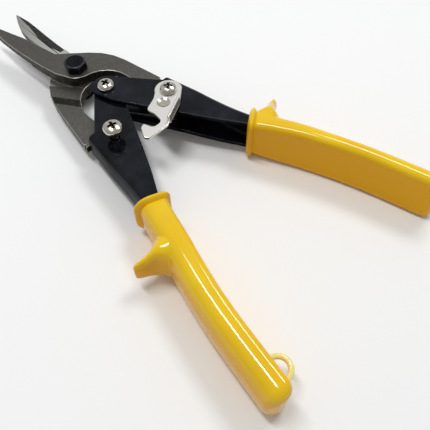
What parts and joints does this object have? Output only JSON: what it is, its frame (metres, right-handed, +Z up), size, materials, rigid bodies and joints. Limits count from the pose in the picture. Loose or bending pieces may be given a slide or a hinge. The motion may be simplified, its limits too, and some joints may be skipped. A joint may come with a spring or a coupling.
{
  "type": "aviation snips",
  "caption": "Compound-action aviation snips with forged jaws, pressed channel handles, dipped grips, an opening spring and a swinging thumb latch.",
  "frame": {"origin": "on the jaw pivot's axis, at the flat end of the pivot bolt under the tool, level with the undersides of the grips", "axes": "+Y from the jaw pivot towards the blade tips, +Z up out of the bolt's head, +X towards the handle that carries the latch"},
  "size_m": [0.1235, 0.2462, 0.0266],
  "materials": {
    "forged_jaw_steel": "satin",
    "black_lacquer": "gloss",
    "yellow_vinyl": "gloss",
    "nickel_plate": "polished",
    "satin_nickel_sheet": "satin",
    "black_oxide": "satin",
    "spring_steel": "satin",
    "sintered_bronze": "matte"
  },
  "bodies": {
    "right_handle": {"right_handle": "black_lacquer", "right_grip": "yellow_vinyl", "handle_pivot_screw": "nickel_plate", "handle_pivot_nut": "nickel_plate", "handle_pivot_sleeve": "sintered_bronze", "return_spring": "spring_steel", "latch_screw": "nickel_plate", "latch_screw_nut": "nickel_plate", "right_tang_bush": "sintered_bronze", "latch_washer": "nickel_plate"},
    "left_handle": {"left_handle": "black_lacquer", "left_grip": "yellow_vinyl", "latch_post_screw": "nickel_plate", "latch_post_nut": "nickel_plate", "left_tang_bush": "sintered_bronze"},
    "upper_jaw": {"upper_jaw": "forged_jaw_steel", "pivot_bolt": "black_oxide", "pivot_washer": "nickel_plate", "pivot_lock_nut": "black_oxide"},
    "lower_jaw": {"lower_jaw": "forged_jaw_steel"},
    "latch": {"latch": "satin_nickel_sheet"}
  },
  "joints": [
    {"name": "handle_pivot", "type": "hinge", "parent": "right_handle", "child": "left_handle", "pos_m": [0, -0.0235, 0.0125], "axis": [0, 0, 1], "range_deg": [0, 30], "stiffness_Nm_per_rad": 0.8, "springref_deg": -28.65, "deforming": ["return_spring"]},
    {"name": "upper_jaw_pivot", "type": "hinge", "parent": "right_handle", "child": "upper_jaw", "pos_m": [0.0175, -0.04935, 0.0125], "axis": [0, 0, 1], "range_deg": [0, 7]},
    {"name": "jaw_pivot", "type": "hinge", "parent": "upper_jaw", "child": "lower_jaw", "pos_m": [0, 0, 0.0125], "axis": [0, 0, 1], "range_deg": [0, 17]},
    {"name": "latch_swing", "type": "hinge", "parent": "right_handle", "child": "latch", "pos_m": [0.0175, -0.04935, 0.0223], "axis": [0, 0, 1], "range_deg": [-10, 25]}
  ],
  "couplings": [
    {"joint": "upper_jaw_pivot", "follows": "handle_pivot", "ratio": 0.226},
    {"joint": "jaw_pivot", "follows": "handle_pivot", "ratio": 0.548}
  ]
}
